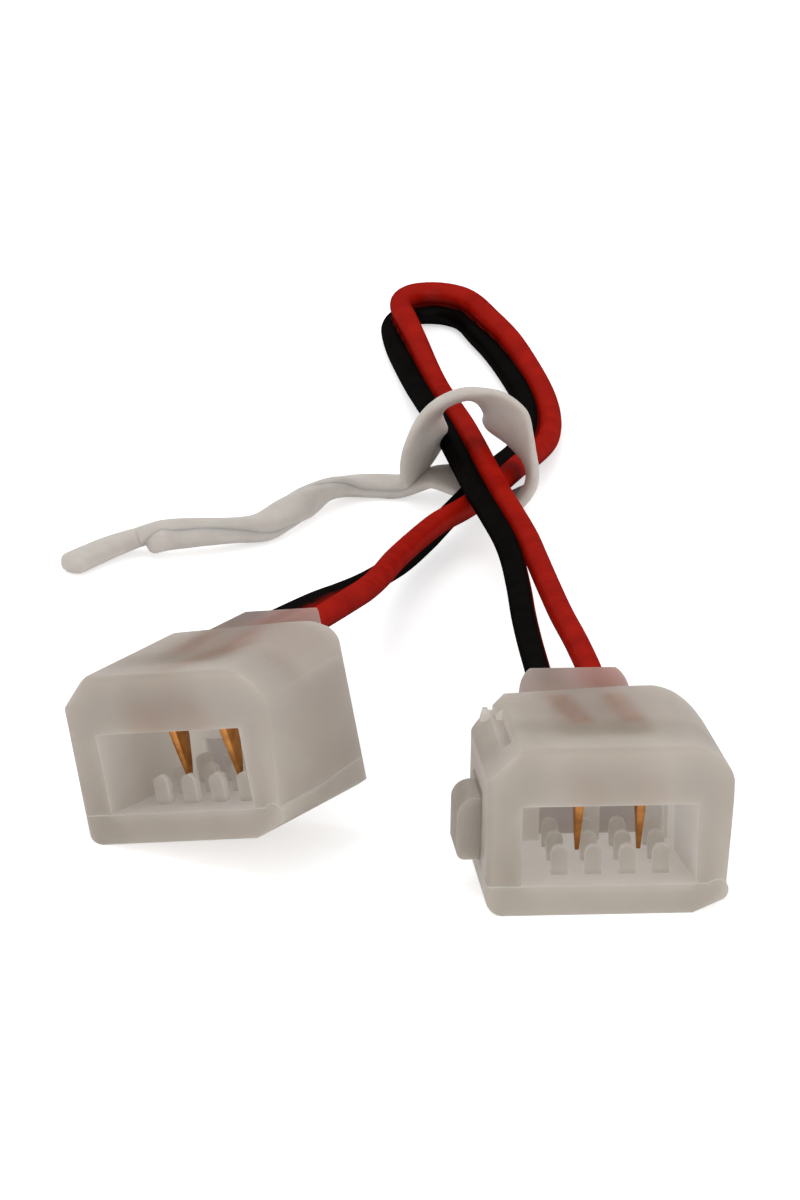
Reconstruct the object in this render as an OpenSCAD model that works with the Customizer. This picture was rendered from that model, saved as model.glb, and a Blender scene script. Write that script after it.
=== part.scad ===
// Two core jumper for a light strip. A clip housing sits on each end of a bonded
// cable. Origin: middle of the right housing's underside. x runs across that
// housing, y runs back from its mouth, z is up. Sizes in mm.

/* [Housing] */
// Thickness of the side walls beside the mouth
side_wall = 2.2; // [2:0.1:2.6]
// Thickness of the rear wall behind the mouth, at the right side
rear_wall = 4.2; // [4:0.1:4.6]
// How much shorter a housing is at its left side
rear_slant = 2; // [1.6:0.1:2.2]
// Height of the roof above the mouth, where the contacts lie
roof_t = 3.9; // [3.8:0.1:4.4]
// Radius of the big round on the right top edge, at the mouth
top_round = 3; // [2:0.25:3.5]
// Growth of that radius towards the rear
round_growth = 2; // [1:0.25:2.5]
// Size of the bevel on the left top edge
top_bevel = 2.2; // [1.6:0.1:2.4]
// Radius of the small rounds on the outer corners
corner_r = 1.2; // [0.6:0.1:1.4]
// Narrowing of the right side wall towards the rear
taper = 1; // [0.6:0.1:1.2]

/* [Mouth] */
// Width of the mouth that takes a 10 mm strip
mouth_w = 11.6; // [11:0.1:12]
// Height of the mouth above the floor plate
mouth_h = 5.45; // [5.2:0.05:5.6]
// Depth of the mouth
mouth_d = 8.4; // [8:0.1:8.8]
// Thickness of the floor plate
floor_t = 1.95; // [1.8:0.05:2]

/* [Posts] */
// Spacing of the floor posts across the mouth
post_pitch = 2.2; // [2.1:0.05:2.3]
// Spacing of the rows of floor posts
row_pitch = 2.55; // [2.4:0.05:2.6]
// Width of a post
post_w = 1.05; // [0.8:0.05:1.1]
// Thickness of a post
post_t = 0.6; // [0.4:0.05:0.7]
// Height of a post above the floor plate
post_h = 1.9; // [1.6:0.05:2]

/* [Contacts] */
// Spacing of the two blades
blade_pitch = 4; // [3.8:0.1:4.2]
// Thickness of a blade at its root
blade_t = 0.56; // [0.5:0.02:0.6]
// Thickness of a blade at its point
tip_t = 0.26; // [0.2:0.02:0.3]
// Gap between the blade points and the floor plate
tip_gap = 1.1; // [0.9:0.05:1.6]
// Outer radius of the crimp barrel
barrel_r = 0.78; // [0.7:0.02:0.8]

/* [Cable] */
// Outer diameter of one insulated core
wire_d = 1.65; // [1.5:0.05:1.7]
// Diameter of the bare copper strands
strand_d = 0.8; // [0.7:0.05:0.9]
// Spacing of the cores where they enter a housing
exit_pitch = 3.5; // [3.4:0.1:3.6]
// Depth of the core axes below the top of a housing
core_cover = 1.4; // [1.4:0.05:1.6]

/* [Tie] */
// Thickness of the two strips of the twist tie together
tie_t = 1.2; // [1:0.1:1.4]

/* [Fits] */
// Gap between the moving tray and the housing
tray_gap = 0.06; // [0.04:0.02:0.12]
// Gap round a core or contact in its passage
core_gap = 0.06; // [0.04:0.02:0.1]

/* [Hidden] */
$fn = 48;
// Outside of a housing: width across its side walls, depth from mouth to rear wall, height
shell_w = mouth_w + 2 * side_wall;
shell_d = mouth_d + rear_wall;
shell_h = floor_t + mouth_h + roof_t;
// Yaw and lean of the left housing, and where its own origin lies on the floor
left_yaw = -37.5;
left_lean = -14;
left_x = -26.2;
left_y = 10.4;
left_z = shell_w / 2 * sin(-left_lean) - corner_r * (sin(-left_lean) + cos(left_lean) - 1);
// Height at which the housing meets the tray
part_z = floor_t + tray_gap;
ceil_z = floor_t + mouth_h;
tip_z = floor_t + tip_gap;
wire_z = shell_h - core_cover;
// Places of the cores and blades across the housing
black_blade = 0.3 - blade_pitch / 2;
red_blade = 0.3 + blade_pitch / 2;
core_mid = -0.9;
black_x = core_mid - exit_pitch / 2;
red_x = core_mid + exit_pitch / 2;
// Depth at which the insulation stops and the bare strands begin
strip_y = shell_d - 0.2;
crimp_y = shell_d - 6.2;
blade_y = 2.65;
seal_y = shell_d - rear_slant;
seal_l = 6.1;
// Passage for the contacts above the mouth
duct_z = wire_z - 1.05;
duct_top = wire_z + 0.9;
strip_t = 0.35;
// Hinge bead along the right bottom edge
bead_r = 0.72;
bead_x = shell_w / 2 - bead_r - 0.28;
bead_z = 1.5;
// Latch arm on the left wall
arm_t = 0.85;
arm_y0 = 2.9;
arm_y1 = mouth_d + 0.1;
arm_top = ceil_z - 0.05;
tab_out = 1.5;
tab_y0 = arm_y0 + 0.9;
tab_y1 = arm_y1 - 0.9;
tab_z0 = floor_t + 0.55;
tab_z1 = arm_top - 0.65;
// Notch in the left top edge, behind the bevel
notch_y = 2.7;
notch_z = shell_h - 1.05;
notch_x = -shell_w / 2 + 1.9;
post_x0 = -3;
post_y0 = 2.2;

function lerp(a, b, t) = a + (b - a) * t;
function unit(v) = v / norm(v);
function lift(v) = [v[0] * cos(left_lean) + v[2] * sin(left_lean), v[1],
    v[2] * cos(left_lean) - v[0] * sin(left_lean)];
function turn(v) = [v[0] * cos(left_yaw) - v[1] * sin(left_yaw),
    v[0] * sin(left_yaw) + v[1] * cos(left_yaw), v[2]];
function at_left(v) = turn(lift(v)) + [left_x, left_y, left_z];

// The outside of a corner, to be taken off a square one
module corner(r) {
    difference() {
        square(r + 1);
        circle(r = r);
    }
}

// Front view of a housing: square foot and a bevel at the left top
module front_view() {
    half = shell_w / 2;
    difference() {
        polygon([[-half, 0], [half - 0.6, 0], [half, shell_h - top_round], [half, shell_h],
            [-half + top_bevel, shell_h], [-half, shell_h - top_bevel]]);
    }
}

// Side view of a housing: y across the page, z up it
module side_view() {
    difference() {
        square([shell_d, shell_h]);
        translate([0.5, shell_h - 0.5]) rotate(90) corner(0.5);
        translate([shell_d - 0.7, shell_h - 0.7]) corner(0.7);
    }
}

// Plan of a housing with its narrowing right wall
module plan_view() {
    half = shell_w / 2;
    difference() {
        polygon([[-half, 0], [half, 0], [half - taper, shell_d], [-half, shell_d - rear_slant]]);
        translate([-half + 0.5, 0.5]) rotate(180) corner(0.5);
        translate([half - 0.6, 0.6]) rotate(-90) corner(0.6);
        translate([half - taper - 1.9, shell_d - 2.1]) corner(1.9);
        translate([-half + 0.8, shell_d - rear_slant - 0.7]) rotate(90) corner(0.8);
    }
}

module front_slab(length) {
    translate([0, length, 0]) rotate([90, 0, 0]) linear_extrude(length) children();
}

module side_slab(width) {
    translate([-width / 2, 0, 0]) rotate([90, 0, 90]) linear_extrude(width) children();
}

// The outside of the big round: a cone that lies along the right top edge
module round_off() {
    slope = round_growth / shell_d;
    tilt = atan(slope);
    back = top_round / slope;
    long = back + shell_d + 8;
    flare = 1.01 * slope / sqrt(1 + slope * slope);
    way = [-slope, 1, -slope] / norm([-slope, 1, -slope]);
    translate([shell_w / 2, -back, shell_h])
    difference() {
        intersection() {
            rotate([0, 0, tilt]) translate([0, 0, -20]) cube([40, long, 40]);
            rotate([-tilt, 0, 0]) translate([-20, 0, 0]) cube([40, long, 40]);
            translate([-20, back - 1, -20]) cube([40, shell_d + 2, 40]);
        }
        translate(way * back / 2) rotate([0, acos(way[2]), atan2(way[1], way[0])])
            cylinder(h = long, r1 = flare * back / 2, r2 = flare * (long + back / 2));
    }
}

// Solid form of a housing before it is parted and hollowed
module block() {
    difference() {
        sides();
        round_off();
    }
}

module sides() {
    intersection() {
        front_slab(shell_d) front_view();
        side_slab(shell_w + 2) side_view();
        linear_extrude(shell_h) plan_view();
    }
}

// Mouth, a little narrower at its rear, with two deeper pockets there
module mouth_space() {
    half = mouth_w / 2;
    linear_extrude(ceil_z) polygon([[-half, -1], [half - 0.1, -1], [half - 1, mouth_d],
        [-half + 0.7, mouth_d]]);
    translate([-3.6, mouth_d - 1, 0]) cube([2.8, 2.2, floor_t + 2.65]);
    translate([0.35, mouth_d - 1, 0]) cube([4.2, 2.2, floor_t + 2.65]);
}

module passage(core_x, blade_x) {
    slot = blade_t / 2 + core_gap;
    duct = 1.05;
    translate([core_x - duct, crimp_y - 0.4, duct_z]) cube([2 * duct, shell_d, duct_top - duct_z]);
    translate([min(core_x, blade_x) - duct, blade_y - 0.35, duct_z])
        cube([abs(core_x - blade_x) + 2 * duct, crimp_y - blade_y + 0.05, duct_top - duct_z]);
    translate([blade_x - slot, blade_y - 0.15, ceil_z - 1]) cube([2 * slot, 2, duct_z - ceil_z + 2]);
}

// Recess in the left wall that takes the latch arm, with a pocket for its nib
module arm_recess() {
    deep = arm_t + tray_gap;
    translate([-shell_w / 2 - 1, arm_y0 - tray_gap, 0])
        cube([deep + 1, arm_y1 - arm_y0 + 2 * tray_gap, arm_top + tray_gap]);
    translate([-shell_w / 2 + deep - 0.1, arm_y0 - tray_gap, 0])
        front_slab(arm_y1 - arm_y0 + 2 * tray_gap)
        polygon([[0, arm_top - 2.35], [0.1, arm_top - 2.35], [0.5, arm_top - 1.1],
            [0.5, arm_top - 0.75], [0, arm_top - 0.75]]);
}

module shell() {
    color([0.86, 0.85, 0.82])
    difference() {
        block();
        translate([-20, -5, -5]) cube([40, 30, 5 + part_z]);
        mouth_space();
        passage(black_x, black_blade);
        passage(red_x, red_blade);
        arm_recess();
        // step along the left top edge, with a low ridge left at its rear end
        translate([-shell_w, notch_y, notch_z]) cube([shell_w + notch_x, 6, 5]);
        translate([-shell_w, notch_y, notch_z]) cube([shell_w + notch_x - 0.45, 20, 5]);
        translate([0, -1, 0]) front_slab(shell_d + 2) translate([bead_x, bead_z])
            circle(r = bead_r + tray_gap);
    }
    color([0.86, 0.85, 0.82])
    translate([0, shell_d - rear_slant - 1.4, 0]) front_slab(0.7)
        translate([-shell_w / 2, notch_z])
        polygon([[0.5, -0.3], [0.7, 0.5], [1, 0.5], [1.4, -0.3]]);
}

// Floor post with a round top
module post() {
    translate([0, post_t, floor_t - 0.2]) rotate([90, 0, 0]) linear_extrude(post_t)
    union() {
        translate([-post_w / 2, 0]) square([post_w, post_h + 0.2 - post_w / 2]);
        translate([0, post_h + 0.2 - post_w / 2]) circle(d = post_w);
    }
}

module plate_view() {
    half = shell_w / 2;
    difference() {
        polygon([[-half, 0], [half - 2.6, 0], [bead_x + 0.3, 0.85], [bead_x + 0.2, floor_t],
            [-half, floor_t]]);
        translate([-half + corner_r, corner_r]) rotate(180) corner(corner_r);
    }
}

// Latch arm seen from the front: flush arm, nib inside, finger tab outside
module arm_view() {
    left = -shell_w / 2;
    polygon([[left, 1.3], [left + arm_t, 1.3], [left + arm_t, arm_top - 2.15],
        [left + arm_t + 0.28, arm_top - 1.2], [left + arm_t + 0.28, arm_top - 0.95],
        [left + arm_t, arm_top - 0.85],
        [left + arm_t, arm_top], [left + 0.2, arm_top], [left, arm_top - 0.5]]);
}

module tab_view() {
    left = -shell_w / 2;
    difference() {
        polygon([[left + 0.3, tab_z0], [left - tab_out, tab_z0], [left - tab_out, tab_z1],
            [left + 0.3, tab_z1]]);
        translate([left - tab_out + 1.2, tab_z1 - 1.2]) rotate(90) corner(1.2);
        translate([left - tab_out + 0.5, tab_z0 + 0.5]) rotate(180) corner(0.5);
    }
}

module tray() {
    color([0.84, 0.83, 0.8]) {
        intersection() {
            union() {
                front_slab(shell_d) plate_view();
                front_slab(shell_d) translate([bead_x, bead_z]) circle(r = bead_r);
            }
            linear_extrude(5) plan_view();
        }
        for (row = [0:2]) {
            for (i = [0:3]) {
                translate([post_x0 + i * post_pitch, post_y0 + row * row_pitch, 0]) post();
            }
        }
        translate([0, arm_y0, 0]) front_slab(arm_y1 - arm_y0) arm_view();
        translate([0, tab_y0, 0]) front_slab(tab_y1 - tab_y0) tab_view();
    }
}

// Soft plug moulded round the two cores behind the rear wall
module seal() {
    low = wire_z - 1.3;
    high = wire_z + 1.35;
    x0 = black_x - 1.75;
    x1 = red_x + 2.1;
    r = (high - low) / 2;
    color([0.83, 0.76, 0.74])
    difference() {
        intersection() {
            translate([0, seal_y, 0]) front_slab(seal_l)
            union() {
                translate([x0 + r, low]) square([x1 - x0 - 2 * r, high - low]);
                translate([x0 + r, low + r]) circle(r = r);
                translate([x1 - r, low + r]) circle(r = r);
            }
            linear_extrude(20) difference() {
                translate([x0, seal_y - 1]) square([x1 - x0, seal_l + 1]);
                translate([x1 - 2.2, seal_y + seal_l - 2.2]) corner(2.2);
                translate([x0 + 2.6, seal_y + seal_l - 2.6]) rotate(90) corner(2.6);
            }
            side_slab(20) difference() {
                translate([seal_y - 1, 0]) square([seal_l + 1, 20]);
                translate([seal_y + seal_l - 1, high - 1]) corner(1);
                translate([seal_y + seal_l - 0.7, low + 0.7]) rotate(-90) corner(0.7);
            }
        }
        block();
        for (x = [black_x, red_x]) {
            translate([x, strip_y, wire_z]) rotate([-90, 0, 0])
                cylinder(r = wire_d / 2 + core_gap, h = seal_l);
            translate([x, seal_y - 1, wire_z]) rotate([-90, 0, 0])
                cylinder(r = strand_d / 2 + core_gap, h = 4);
        }
    }
}

// Bare copper strands between the insulation and the crimp
module strands(core_x) {
    color([0.78, 0.47, 0.25]) translate([core_x, crimp_y - 0.2, wire_z]) rotate([-90, 0, 0])
        cylinder(d = strand_d, h = strip_y - crimp_y + 0.2);
}

// Stamped contact: crimp barrel, strip on the passage floor, blade down into the mouth
module terminal(core_x, blade_x) {
    color([0.72, 0.42, 0.22]) {
        difference() {
            union() {
                translate([core_x, crimp_y, wire_z]) rotate([-90, 0, 0])
                    cylinder(r = barrel_r, h = 2.6);
                translate([core_x - 0.5, crimp_y, duct_z]) cube([1, 2.6, 0.6]);
            }
            translate([core_x, crimp_y - 1, wire_z]) rotate([-90, 0, 0]) cylinder(d = strand_d, h = 6);
        }
        translate([0, 0, duct_z]) linear_extrude(strip_t)
            polygon([[blade_x - blade_t / 2, blade_y], [blade_x + blade_t / 2, blade_y],
                [blade_x + 0.55, blade_y + 1.95], [core_x + 0.5, crimp_y + 0.2],
                [core_x - 0.5, crimp_y + 0.2], [blade_x - 0.55, blade_y + 1.95]]);
        intersection() {
            translate([blade_x, blade_y, 0]) side_slab(2)
                polygon([[0, duct_z + 0.2], [1.7, duct_z + 0.2], [1.7, ceil_z - 1.1],
                    [1.55, tip_z + 1.2], [1.33, tip_z], [1.09, tip_z], [0, ceil_z]]);
            front_slab(6) translate([blade_x, 0])
                polygon([[-tip_t / 2, tip_z - 1], [tip_t / 2, tip_z - 1], [tip_t / 2, tip_z],
                    [blade_t / 2, tip_z + 2.9], [blade_t / 2, wire_z], [-blade_t / 2, wire_z],
                    [-blade_t / 2, tip_z + 2.9], [-tip_t / 2, tip_z]]);
        }
    }
}

module place_left() {
    translate([left_x, left_y, left_z]) rotate([0, left_lean, left_yaw]) children();
}

// Cable route: middle of the pair, half the spacing of the cores, and the angle of
// the line from the black core to the red one, 0 when red lies to the right
route_a = [
    [core_mid, strip_y, wire_z, exit_pitch / 2, 0],
    [core_mid, strip_y + 4.6, wire_z, exit_pitch / 2, 0],
    [-0.85, 20.5, 9.8, 1.7, 0], [-0.7, 27, 9.3, 1.55, 0], [-0.4, 35, 8.35, 1.3, 0],
    [0.1, 44, 7.2, 1.05, 0], [0.55, 53, 6.1, 0.87, 0], [0.75, 60, 5.35, 0.83, 0],
    [0.6, 66, 4.9, 0.83, 0], [0.3, 72, 4.6, 0.83, 0], [0, 78, 4.5, 0.83, 0],
    [-0.25, 84, 4.4, 0.83, 0], [-0.35, 90, 3.9, 0.83, 0], [-0.4, 96, 3.1, 0.83, 0],
    [-0.4, 102, 2.2, 0.83, 0], [-0.42, 108, 1.4, 0.83, 0], [-0.5, 113.5, 1, 0.83, 5],
    [-0.75, 118.5, 1.2, 0.83, 22], [-0.95, 122.4, 1.55, 0.83, 50], [-0.95, 124.6, 1.68, 0.83, 68],
    [-0.4, 126.6, 1.7, 0.83, 80], [0.9, 127.95, 1.7, 0.83, 88], [2.7, 128, 1.7, 0.83, 95],
    [4.1, 126.9, 1.7, 0.83, 102], [4.85, 125.1, 1.68, 0.83, 110], [5.45, 122.3, 1.58, 0.83, 122],
    [6.4, 118, 1.35, 0.83, 145], [7.1, 112.5, 1.1, 0.83, 165],
    [7.5, 106.5, 0.95, 0.83, 176], [7.3, 101, 0.95, 0.83, 178], [6.5, 95.6, 1.15, 0.83, 175],
    [5.1, 90.6, 1.7, 0.83, 172], [3.4, 86.2, 2.2, 0.83, 168], [1.7, 82, 2.45, 0.83, 165],
    [0, 78.2, 2.5, 0.83, 158], [-1.9, 74.6, 2.4, 0.83, 145], [-4, 70.6, 2.4, 0.83, 122],
    [-6.3, 65, 2.8, 0.83, 118], [-8.7, 57, 4.3, 0.83, 132], [-10.7, 48.5, 6.3, 0.88, 150],
    [-12.7, 40, 8.5, 1.05, 162], [-14.9, 32.4, 10.4, 1.4, 166]];
left_end = 166.4;

function path_dir(p, i) = unit(p[min(i + 1, len(p) - 1)] - p[max(i - 1, 0)]);
function spot(r) = [r[0], r[1], r[2]];
function core_point(i, side) =
    let (p = [for (r = route_a) spot(r)], t = path_dir(p, i), across = unit([t[1], -t[0], 0]),
        up = cross(across, t), r = route_a[i])
    spot(r) + side * r[3] * (cos(r[4]) * across + sin(r[4]) * up);
function core_route(side) = concat([for (i = [0:len(route_a) - 1]) core_point(i, side)],
    [at_left([core_mid + side * exit_pitch / 2, strip_y + 4.6, wire_z]),
    at_left([core_mid + side * exit_pitch / 2, strip_y, wire_z])]);

// Frames that turn as little as possible along a route
function frame_next(n, t) = unit(n - (n * t) * t);
function frames(p, i = 0, n = [0, 0, 1]) = i >= len(p) ? [] :
    let (t = path_dir(p, i), m = frame_next(n, t)) concat([[m, cross(t, m)]], frames(p, i + 1, m));

// Faces over n rings of points, with both ends closed
module closed_skin(points, n, sides) {
    skin = [for (i = [0:n - 2]) for (k = [0:sides - 1])
        [i * sides + k, i * sides + (k + 1) % sides, (i + 1) * sides + (k + 1) % sides,
        (i + 1) * sides + k]];
    tail = [for (k = [0:sides - 1]) sides - 1 - k];
    head = [for (k = [0:sides - 1]) (n - 1) * sides + k];
    polyhedron(points = points, faces = concat([tail], [for (q = skin) [q[0], q[1], q[2]]],
        [for (q = skin) [q[0], q[2], q[3]]], [head]), convexity = 10);
}

// One tube of eight sides swept along a list of points
module tube(p, r) {
    sides = 8;
    f = frames(p);
    n = len(p);
    points = [for (i = [0:n - 1]) for (k = [0:sides - 1])
        p[i] + r * cos(360 * k / sides) * f[i][0] + r * sin(360 * k / sides) * f[i][1]];
    closed_skin(points, n, sides);
}

module wire(side) {
    color(side > 0 ? [0.75, 0.13, 0.07] : [0.12, 0.11, 0.1])
        tube(core_route(side), wire_d / 2);
}

// Twist tie: a flat coated wire bent into a ring round the two passes, its two ends laid
// together and given half a turn. Rows of the tail end with the angle of that turn.
ring = [
    [-3.75, 83.9, 3.3], [-3.8, 83.6, 5.2], [-3.3, 83.2, 7], [-2, 82.8, 8.3], [-0.1, 82.4, 8.8],
    [1.9, 82, 8.3], [3.4, 81.7, 7], [4.3, 81.4, 5.2], [4.5, 81.2, 3.4], [4.3, 81.2, 1.8],
    [3.3, 81.4, 0.75], [1.6, 81.9, 0.4], [-0.4, 82.7, 0.42], [-2.2, 83.7, 0.62]];
ring_mid = [0.35, 0, 4.6];
tail_mid = [
    [-4.4, 84.9, 0], [-6.4, 85.1, 0], [-8.4, 84.7, 8], [-10, 83.3, 35], [-11.3, 81.7, 75],
    [-12.6, 79.8, 115], [-14, 78, 150], [-15.7, 76.2, 175], [-17.9, 74.8, 190],
    [-20.4, 74, 196], [-22.9, 73.3, 196]];
tip = [[-25, 73, 188], [-27, 72, 184], [-28.7, 70.6, 182], [-30, 69.2, 180]];
lay = tie_t / 4;
tail_w = 1.15;
ring_w = 1.6;

function level(r, spare) = [r[0], r[1],
    0.04 + (lay + spare) * abs(cos(r[2])) + tail_w * abs(sin(r[2]))];
function tail_up(r, t) = cos(r[2]) * [0, 0, 1] + sin(r[2]) * unit([t[1], -t[0], 0]);
// Each strip row: place, direction of its thickness, half thickness, half width
function strand(side, rows, spare) =
    let (p = [for (r = rows) level(r, spare)])
    [for (i = [0:len(rows) - 1]) let (n = tail_up(rows[i], path_dir(p, i)))
        [p[i] + side * spare * n, side * n, lay, tail_w]];
function ring_out(p) = unit([p[0] - ring_mid[0], 0, p[2] - ring_mid[2]]);
function backwards(p) = [for (i = [len(p) - 1:-1:0]) p[i]];

module strip(rows) {
    sides = 8;
    n = len(rows);
    p = [for (r = rows) r[0]];
    points = [for (i = [0:n - 1]) let (t = path_dir(p, i), u = frame_next(rows[i][1], t))
        for (k = [0:sides - 1])
        p[i] + rows[i][2] * cos(360 * k / sides) * u
        + rows[i][3] * sin(360 * k / sides) * cross(t, u)];
    closed_skin(points, n, sides);
}

module twist_tie() {
    color([0.86, 0.85, 0.83]) strip(concat(
        backwards(concat(strand(1, tail_mid, lay + 0.02), strand(1, tip, 0))),
        [for (p = ring) [p, ring_out(p), lay, ring_w]],
        strand(-1, tail_mid, lay + 0.02)));
}

// Routes and housings are drawn from the front edge, then moved to the origin
module origin() {
    translate([0, -shell_d / 2, 0]) children();
}

origin() shell();  // shell_right
origin() tray();  // tray_right
origin() seal();  // seal_right
origin() terminal(red_x, red_blade);  // terminal_red_right
origin() terminal(black_x, black_blade);  // terminal_black_right
origin() strands(red_x);  // strands_red_right
origin() strands(black_x);  // strands_black_right
origin() place_left() shell();  // shell_left
origin() place_left() tray();  // tray_left
origin() place_left() seal();  // seal_left
origin() place_left() terminal(red_x, red_blade);  // terminal_red_left
origin() place_left() terminal(black_x, black_blade);  // terminal_black_left
origin() place_left() strands(red_x);  // strands_red_left
origin() place_left() strands(black_x);  // strands_black_left
origin() wire(1);  // wire_red
origin() wire(-1);  // wire_black
origin() twist_tie();
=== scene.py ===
# A two core jumper for a light strip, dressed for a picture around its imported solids.
# Lengths are written in millimetres and turned into metres by MM.
import math

import bmesh
import bpy
import numpy as np
from mathutils import Matrix, Vector


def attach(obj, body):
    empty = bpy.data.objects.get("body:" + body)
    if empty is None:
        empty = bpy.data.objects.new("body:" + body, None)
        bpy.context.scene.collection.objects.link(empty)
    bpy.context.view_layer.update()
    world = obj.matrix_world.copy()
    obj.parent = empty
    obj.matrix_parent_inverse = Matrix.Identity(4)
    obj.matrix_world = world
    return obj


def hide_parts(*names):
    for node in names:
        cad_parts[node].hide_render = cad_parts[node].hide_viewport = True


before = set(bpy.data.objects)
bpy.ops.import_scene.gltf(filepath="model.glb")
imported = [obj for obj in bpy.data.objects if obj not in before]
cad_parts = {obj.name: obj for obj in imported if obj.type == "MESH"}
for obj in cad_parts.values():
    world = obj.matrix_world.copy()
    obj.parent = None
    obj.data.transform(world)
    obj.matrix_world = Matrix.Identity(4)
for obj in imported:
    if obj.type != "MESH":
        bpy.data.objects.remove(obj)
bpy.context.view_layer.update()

# View and light
# The camera stands a little above the table and looks into the mouths of the housings.
# A pale table, a bright surround and two large soft lamps stand in for a light tent.
MM = 0.001
WHITE = (1, 1, 1, 1)
ROOM_LIGHT = 0.6
TABLE_GLOW = 0.55
scene = bpy.context.scene

look = Vector((0.10261, 0.94074, -0.32323)).normalized()
level = Vector((0.99410, -0.10843, 0.0)).normalized()
raised = level.cross(look)
roll = math.radians(-1.082)
across = math.cos(roll) * level - math.sin(roll) * raised
upward = math.sin(roll) * level + math.cos(roll) * raised
camera = bpy.data.objects.new("camera", bpy.data.cameras.new("camera"))
camera.data.lens = 280.34
camera.data.clip_start = 0.02
camera.data.clip_end = 20.0
place = Matrix((across, upward, -look)).transposed().to_4x4()
place.translation = Vector((-74.58, -562.85, 212.79)) * MM
camera.matrix_world = place
scene.collection.objects.link(camera)
scene.camera = camera
scene.view_settings.view_transform = "Standard"


def soft_lamp(name, spot, aim, size, watts, mirrored=True):
    lamp = bpy.data.objects.new(name, bpy.data.lights.new(name, "AREA"))
    lamp.data.shape = "RECTANGLE"
    lamp.data.size, lamp.data.size_y = size
    lamp.data.energy = watts
    lamp.location = spot
    lamp.rotation_euler = (Vector(aim) - Vector(spot)).to_track_quat("-Z", "Y").to_euler()
    lamp.visible_glossy = mirrored
    scene.collection.objects.link(lamp)


soft_lamp("lamp_over", spot=(-0.20, 0.10, 0.80), aim=(0, 0.04, 0), size=(0.7, 0.6),
          watts=1.5, mirrored=False)
soft_lamp("lamp_front", spot=(0.06, -0.78, 0.30), aim=(0, 0.03, 0), size=(1.3, 0.4),
          watts=2.1)


def wire_up(tree, kind, inputs=(), **settings):
    """One shader node with its settings made and its inputs set or linked, by name or place."""
    node = tree.nodes.new(kind)
    for key, value in settings.items():
        setattr(node, key, value)
    for key, value in dict(inputs).items():
        if isinstance(value, bpy.types.NodeSocket):
            tree.links.new(value, node.inputs[key])
        else:
            node.inputs[key].default_value = value
    return node


def seen_directly(tree):
    """1 where the camera sees a surface straight, in a reflection or through glass."""
    path = wire_up(tree, "ShaderNodeLightPath")
    both = wire_up(tree, "ShaderNodeMath", {0: path.outputs["Is Camera Ray"],
                   1: path.outputs["Is Glossy Ray"]}, operation="MAXIMUM")
    return wire_up(tree, "ShaderNodeMath", {0: both.outputs[0],
                   1: path.outputs["Is Transmission Ray"]}, operation="MAXIMUM").outputs[0]


world = bpy.data.worlds.new("surround")
scene.world = world
world.use_nodes = True
tree = world.node_tree
tree.nodes.clear()
strength = wire_up(tree, "ShaderNodeMapRange", {"Value": seen_directly(tree),
                   "To Min": ROOM_LIGHT, "To Max": 1.0})
shade = wire_up(tree, "ShaderNodeBackground", {"Color": WHITE,
                "Strength": strength.outputs[0]})
wire_up(tree, "ShaderNodeOutputWorld", {"Surface": shade.outputs[0]})

table = bpy.data.materials.new("table")
table.use_nodes = True
tree = table.node_tree
tree.nodes.clear()
matt = wire_up(tree, "ShaderNodeBsdfDiffuse", {"Color": (0.93, 0.93, 0.93, 1)})
seen = wire_up(tree, "ShaderNodeMix", {0: seen_directly(tree), "A": 0.0, "B": TABLE_GLOW},
               data_type="FLOAT")
glow = wire_up(tree, "ShaderNodeEmission", {"Color": WHITE, "Strength": seen.outputs[0]})
both = wire_up(tree, "ShaderNodeAddShader", {0: matt.outputs[0], 1: glow.outputs[0]})
wire_up(tree, "ShaderNodeOutputMaterial", {"Surface": both.outputs[0]})

bpy.ops.mesh.primitive_plane_add(size=6.0, location=(0, 0, 0))
floor = bpy.context.object
floor.name = "table"
floor.data.materials.append(table)

# Housings
# Each is one milky, translucent moulding: a box with a wide mouth, a bevelled left edge
# and a round right edge. Its edges are softened by the mould and the gloss is uneven.
FRONT = -6.3
LEFT_PLACE = Vector((-26.2, 10.4 + FRONT, 1.680714)) * MM
LEFT_TURN = (0.0, math.radians(-14.0), math.radians(-37.5))
HOUSING_EDGE = 0.32
SEAM = (1.9, 2.1)
SEAM_SHARE = 0.15
JOINED_WITHIN = 1e-7
FLAT_WITHIN = math.radians(1.0)
ROUNDED_FROM = math.radians(28.0)
SMOOTH_UP_TO = math.radians(40)
MOULD_ROUGH = 0.34
THROUGH_SHARE = 0.61
THROUGH_GAMMA = 0.14


def new_finish(name):
    """A material with an empty node tree."""
    material = bpy.data.materials.new(name)
    material.use_nodes = True
    tree = material.node_tree
    tree.nodes.clear()
    return material, tree


def group_tree(name, inputs, outputs):
    """An empty shader group with named number or vector sockets."""
    group = bpy.data.node_groups.new(name, "ShaderNodeTree")
    for label, kind, value in inputs:
        socket = group.interface.new_socket(label, in_out="INPUT", socket_type=kind)
        if value is not None:
            socket.default_value = value
    for label, kind in outputs:
        group.interface.new_socket(label, in_out="OUTPUT", socket_type=kind)
    return group, group.nodes.new("NodeGroupInput"), group.nodes.new("NodeGroupOutput")


def number(tree, operation, a, b=0.0):
    return wire_up(tree, "ShaderNodeMath", {0: a, 1: b}, operation=operation).outputs[0]


def blended(tree, share, first, second):
    """A colour between two, by share. Each is a plain colour or a socket."""
    inputs = {"Factor": share}
    for key, value in (("A", first), ("B", second)):
        inputs[key] = value if isinstance(value, bpy.types.NodeSocket) else (*value, 1)
    return wire_up(tree, "ShaderNodeMix", inputs, data_type="RGBA").outputs["Result"]


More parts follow.
